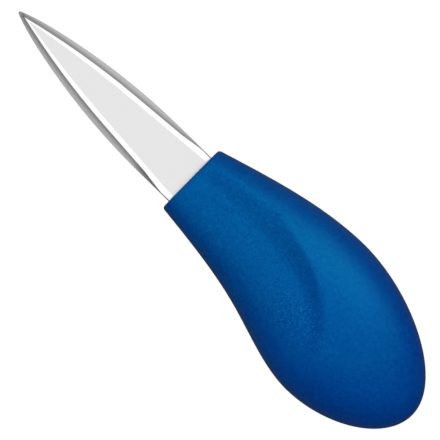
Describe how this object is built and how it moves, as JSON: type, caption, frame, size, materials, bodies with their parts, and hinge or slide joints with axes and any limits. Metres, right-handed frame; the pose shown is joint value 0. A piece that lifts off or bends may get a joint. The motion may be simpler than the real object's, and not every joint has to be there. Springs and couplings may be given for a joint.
{
  "type": "oyster knife",
  "caption": "Oyster knife with a short lancet blade and a thick blue palm-filling handle with a thumb scoop on each face.",
  "frame": {"origin": "bottom centre of the whole knife's bounding box, under the belly of the handle, with the blade lying flat", "axes": "+X runs from the blade's tip to the butt, +Z is square to the blade's flats, and +Y points to the back of the handle, away from the finger side"},
  "size_m": [0.1532, 0.043, 0.0269],
  "materials": {
    "blade_steel": "satin",
    "grip_blue": "matte",
    "core_plastic": "matte"
  },
  "bodies": {
    "root": {"blade": "blade_steel", "grip": "grip_blue", "core_upper": "core_plastic", "core_lower": "core_plastic"}
  },
  "joints": []
}
